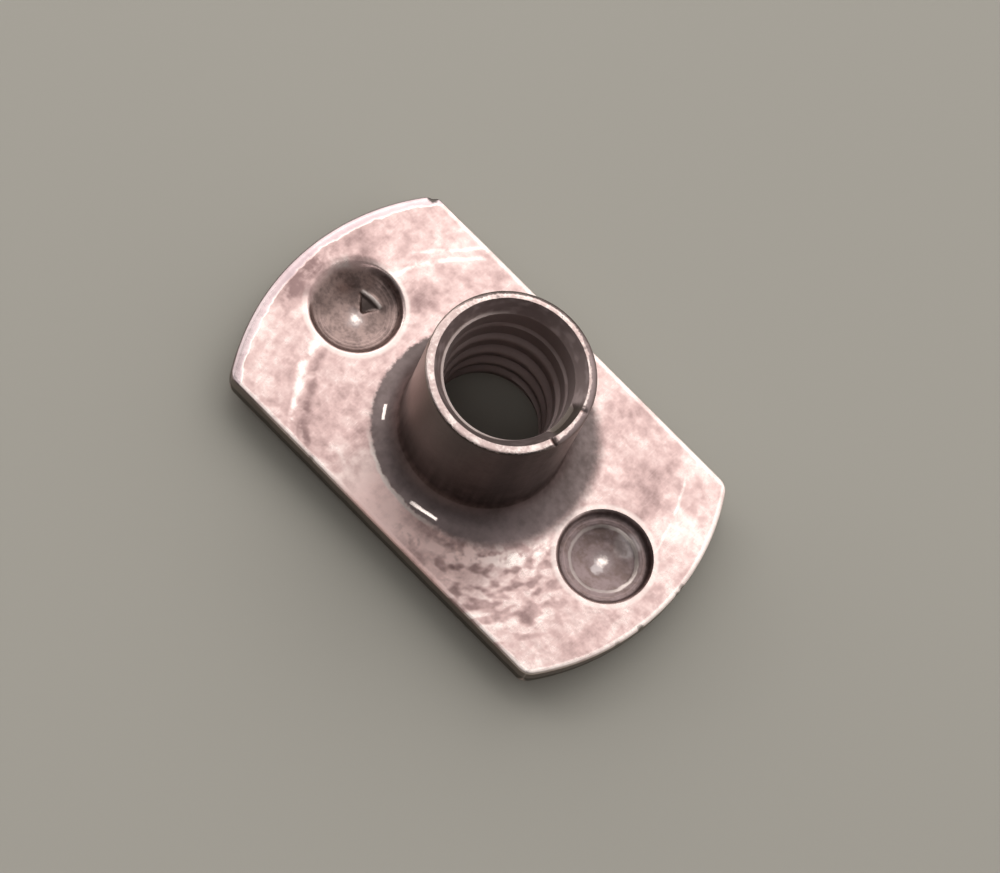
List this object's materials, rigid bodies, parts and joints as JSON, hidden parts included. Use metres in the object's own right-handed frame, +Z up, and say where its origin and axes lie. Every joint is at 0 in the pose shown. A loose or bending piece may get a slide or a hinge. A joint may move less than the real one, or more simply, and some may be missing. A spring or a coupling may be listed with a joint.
{
  "type": "weld nut",
  "caption": "Drawn sheet-steel weld nut: a tapped barrel on a round flange cut off along parallel flats, with weld projections under the flange and punch pits above them.",
  "frame": {"origin": "on the thread axis, in the plane of the weld projection tips that rest on the sheet", "axes": "+Z up the barrel along the thread axis, +X along the flange's long direction, +Y across the flats"},
  "size_m": [0.0238, 0.0138, 0.0104],
  "materials": {
    "bare_steel": "bare burnished steel, mottled, with darker drawn barrel and pits"
  },
  "bodies": {
    "root": {"weld_nut": "bare_steel"}
  },
  "joints": []
}
